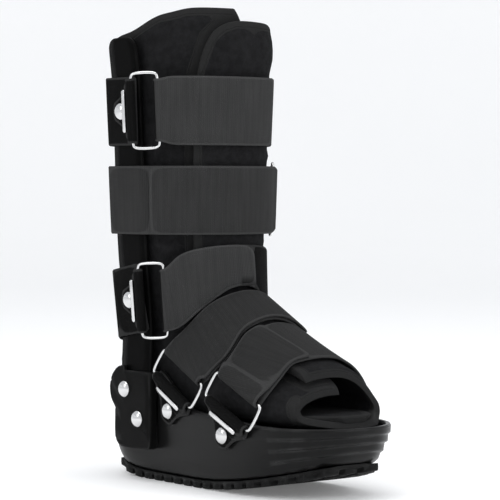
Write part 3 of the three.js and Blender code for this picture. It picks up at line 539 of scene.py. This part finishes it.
def make_rivet(node):
    copy = solid_copy(node)
    poles = sorted(copy.verts, key=lambda v: -len(v.link_edges))[:2]
    middle = sum((v.co for v in copy.verts), Vector()) / len(copy.verts)
    low, high = sorted((v.co.copy() for v in poles), key=lambda end: -(end - middle).length)
    copy.free()
    depth = (high - low).length - RIVET_RISE
    shape = bmesh.new()
    profile = [(0, -depth), (SHANK_RADIUS, -depth), (SHANK_RADIUS, 0), (RIVET_RADIUS, 0)]
    profile += [(RIVET_RADIUS, BEVEL_RISE), (RIVET_RADIUS * 0.97, DOME_FOOT)]
    for step in range(1, DOME_STEPS):
        angle = math.radians(90 * step / DOME_STEPS)
        reach = RIVET_RADIUS * 0.9 * math.cos(angle)
        profile.append((reach, DOME_FOOT + (RIVET_RISE - DOME_FOOT) * math.sin(angle)))
    profile.append((0, RIVET_RISE))
    spin_profile(shape, [(out, 0, up) for out, up in profile], RIVET_SPIN_STEPS)
    bmesh.ops.remove_doubles(shape, verts=shape.verts, dist=WELD)
    bmesh.ops.recalc_face_normals(shape, faces=shape.faces)
    turn = (high - low).normalized().to_track_quat("Z", "Y").to_matrix().to_4x4()
    seat = high - (high - low).normalized() * RIVET_RISE
    bmesh.ops.transform(shape, matrix=Matrix.Translation(seat) @ turn, verts=shape.verts)
    return make_piece(f"{node}_turned", shape, nickel, [node], sharp=40)


rivets = [make_rivet(node) for node in sorted(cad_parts) if node.startswith("rivet_")]
for node in sorted(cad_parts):
    if node.startswith("ring_"):
        dress(node, nickel, "steel", degrees=170)
    if node.startswith("clip_"):
        dress(node, nickel, "steel", amount=0.7)
print("rivets", len(rivets))

# %% [markdown]
# Each strap is drawn tight round the boot, through its ring and back over itself. The copy of its solid
# keeps that path. A UV map of real lengths is laid on it from the strap's own axes: how far round, and how
# far across. The outer layer is found by counting walls from outside, since a fold has four of them.

# %% Straps and keepers
STRAPS = {
    "top": {"lean": 0, "ahead": 0, "up": 272, "finish": leg_webbing, "tucked": False},
    "middle": {"lean": 0, "ahead": 0, "up": 207, "finish": calf_webbing, "tucked": False},
    "lower": {"lean": 10, "ahead": 0, "up": 133.5, "finish": leg_webbing, "tucked": True},
    "instep": {"lean": 48, "ahead": 55.5, "up": 87.5, "finish": foot_webbing, "tucked": True},
    "forefoot": {"lean": 83, "ahead": 122, "up": 77, "finish": foot_webbing, "tucked": False},
}
MEAN_RADIUS = 56 * MM


def strap_axes(strap):
    """The middle of the strap's loop, its way ahead, and its way across"""
    lean = math.radians(strap["lean"])
    origin = LEG_AXIS + Vector((0, -strap["ahead"] * MM, strap["up"] * MM))
    ahead = Vector((0, -math.cos(lean), math.sin(lean)))
    wide = Vector((0, -math.sin(lean), -math.cos(lean)))
    return origin, ahead, wide


def lay_uv(piece, strap):
    origin, ahead, wide = strap_axes(strap)
    uv = piece.data.uv_layers.new(name="strap")
    for face in piece.data.polygons:
        turns = []
        for corner in face.loop_indices:
            p = piece.data.vertices[piece.data.loops[corner].vertex_index].co - origin
            turns.append((math.atan2(p.x, p.dot(ahead)), p.dot(wide)))
        wrapped = max(t for t, _ in turns) - min(t for t, _ in turns) > math.pi
        for corner, (turn, width) in zip(face.loop_indices, turns):
            if wrapped and turn < 0:
                turn += 2 * math.pi
            uv.data[corner].uv = (turn * MEAN_RADIUS, width)


REACH = 12 * MM
CLEAR = 2.5 * MM
STEP = 0.05 * MM
INSET = 1.5 * MM
TUCKED_SHIFTS = [-8 * MM, -14 * MM]


def count_walls(tree, point, inward):
    """How many walls lie within reach of the point, going inward"""
    left, walls = REACH, 0
    while left > 0:
        hit, _, _, distance = tree.ray_cast(point, inward, left)
        if hit is None:
            break
        walls += 1
        left -= distance + STEP
        point = hit + inward * STEP
    return walls


def mark_fold(piece, strap):
    """1 on the layer that lies over another one of the strap, and 0 where the strap is single.

    The under layer stops short where the strap tucks beneath its neighbour, so there it is also counted
    nearer the strap's middle.
    """
    mesh = piece.data
    origin, _, wide = strap_axes(strap)
    tree = BVHTree.FromPolygons([v.co for v in mesh.vertices], [p.vertices for p in mesh.polygons])
    folded = []
    for vertex in mesh.vertices:
        offset = vertex.co - origin
        place = offset.dot(wide)
        inward = (wide * place - offset).normalized()
        shifts = [INSET if place < 0 else -INSET]
        if strap["tucked"] and place > 0:
            shifts += TUCKED_SHIFTS
        starts = [vertex.co + wide * shift - inward * CLEAR for shift in shifts]
        walls = max(count_walls(tree, start, inward) for start in starts)
        folded.append(1.0 if walls > 2 else 0.0)
    write_values(mesh, "folded", folded)


def weave(node, strap, finish):
    """A dressed strap or keeper with its UV map and its edges"""
    piece = dress(node, finish, "webbing", amount=0.75)
    settle(piece)
    lay_uv(piece, strap)
    write_rim(piece.data, solid_rims(node))
    return piece


for name, strap in STRAPS.items():
    webbing = weave(f"strap_{name}", strap, strap["finish"])
    mark_fold(webbing, strap)
    weave(f"keeper_{name}", strap, keeper_webbing)
    print(name, "strap", len(webbing.data.polygons), "faces")

# %% [markdown]
# Inside, the foot stands on an insole, a thin firm pad that shows in the toe opening. It is a grid with a
# thickness, and each of its points is stopped short of the liner's wall by a ray, so it fits the inside.

# %% The insole
INSOLE_FOOT = 52.8 * MM
INSOLE_TOP = 58.3 * MM
INSOLE_BACK = 0.082
INSOLE_FRONT = -0.145
INSOLE_ROOM = 0.9 * MM
INSOLE_HALF = 0.032
RAY = 0.2
TOE_ROUND_FROM = 0.72
HEEL_ROUND_FROM = 0.8


def rounding(run, start, depth):
    """The share of the width that is left near a rounded end"""
    past = max(0.0, (run - start) / (1 - start))
    return math.sqrt(max(0.0, 1 - past ** 2 * depth))


def make_insole():
    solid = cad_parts["liner"].data
    wall = BVHTree.FromPolygons([v.co for v in solid.vertices], [p.vertices for p in solid.polygons])

    def reach(direction, point):
        hit, _, _, distance = wall.ray_cast(point, direction, RAY)
        return (distance if hit else 0.03) - INSOLE_ROOM

    shape = bmesh.new()
    bmesh.ops.create_grid(shape, x_segments=10, y_segments=36, size=1)
    raised = bmesh.ops.extrude_face_region(shape, geom=list(shape.faces))
    for v in raised["geom"]:
        if isinstance(v, bmesh.types.BMVert):
            v.co.z = 1
    for v in shape.verts:
        share, run, level = v.co
        y = INSOLE_BACK + (INSOLE_FRONT - INSOLE_BACK) * (run + 1) / 2
        z = INSOLE_TOP if level > 0.5 else INSOLE_FOOT
        middle = Vector((0, y, z))
        side = Vector((1 if share > 0 else -1, 0, 0))
        half = min(reach(side, middle), INSOLE_HALF)
        half *= rounding(run, TOE_ROUND_FROM, 0.75) * rounding(-run, HEEL_ROUND_FROM, 0.8)
        v.co = (share * half, y, z)
    bmesh.ops.recalc_face_normals(shape, faces=shape.faces)
    rims = bound_edges(shape)
    crease(shape, CLOTH_EDGE, 0.5)
    pad = make_piece("insole", shape, loop_cloth, [])
    subdivide(pad, 2)
    write_rim(settle(pad), rims)
    print("insole", len(pad.data.polygons), "faces")


make_insole()

# %% [markdown]
# The liner is a padded sheet: foam between two cloths. It swells where nothing holds it and stays flat
# under the straps, the uprights and the shell. A cloth simulation is the usual way to make padding. Here the
# dense mesh is pushed out along its normals by how far the nearest holder is, because the boot is wrapped
# tight and has no loose cloth.

# %% The padded liner
SWELL = 2.2 * MM
HELD_WITHIN = 1.5 * MM
FREE_BEYOND = 16 * MM
EDGE_FADE = (1 * MM, 14 * MM)
CRINKLE = 0.5 * MM
CRINKLE_SCALE = 38
CRINKLE_FADE = (2 * MM, 8 * MM)
HOLDING = ("strap", "upright", "foot", "socket", "keeper")
CENTRE_LINE = [(0, 0.045, 0.36), (0, 0.048, 0.11), (0, 0.005, 0.078), (0, -0.15, 0.062)]


def smooth_step(value, low, high):
    t = max(0.0, min(1.0, (value - low) / (high - low)))
    return t * t * (3 - 2 * t)


def nearest_on_line(point):
    """The nearest point of the line through the middle of the leg and foot"""
    best = None
    for a, b in zip(CENTRE_LINE, CENTRE_LINE[1:]):
        a, b = Vector(a), Vector(b)
        share = max(0.0, min(1.0, (point - a).dot(b - a) / (b - a).length_squared))
        there = a.lerp(b, share)
        if best is None or (point - there).length < (point - best).length:
            best = there
    return best


def holders():
    """One tree of the solids that press on the liner"""
    corners, faces = [], []
    for node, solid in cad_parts.items():
        if node.split("_")[0] not in HOLDING:
            continue
        first = len(corners)
        corners += [v.co.copy() for v in solid.data.vertices]
        faces += [[first + k for k in f.vertices] for f in solid.data.polygons]
    return BVHTree.FromPolygons(corners, faces)


def make_liner():
    shape = solid_copy("liner")
    rims = bound_edges(shape)
    crease(shape, CLOTH_EDGE, 0.7)
    piece = make_piece("liner_padded", shape, loop_cloth, ["liner"])
    subdivide(piece, 3)
    mesh = settle(piece)
    held = holders()
    points = [v.co.copy() for v in mesh.vertices]
    normals = [n.vector.copy() for n in mesh.vertex_normals]
    distances = [rims.find(point)[2] for point in points]
    for i, (point, normal, distance) in enumerate(zip(points, normals, distances)):
        if normal.dot(point - nearest_on_line(point)) <= 0:
            continue
        room = held.find_nearest(point, FREE_BEYOND)[3] or FREE_BEYOND
        lift = SWELL * smooth_step(room, HELD_WITHIN, FREE_BEYOND) * smooth_step(distance, *EDGE_FADE)
        crinkle = noise.noise(point * CRINKLE_SCALE) * CRINKLE * smooth_step(room, *CRINKLE_FADE)
        points[i] = point + normal * (lift + crinkle)
    mesh.vertices.foreach_set("co", [c for point in points for c in point])
    write_values(mesh, "rim", distances)
    mesh.update()
    return piece


liner = make_liner()
print("liner", len(liner.data.polygons), "faces")
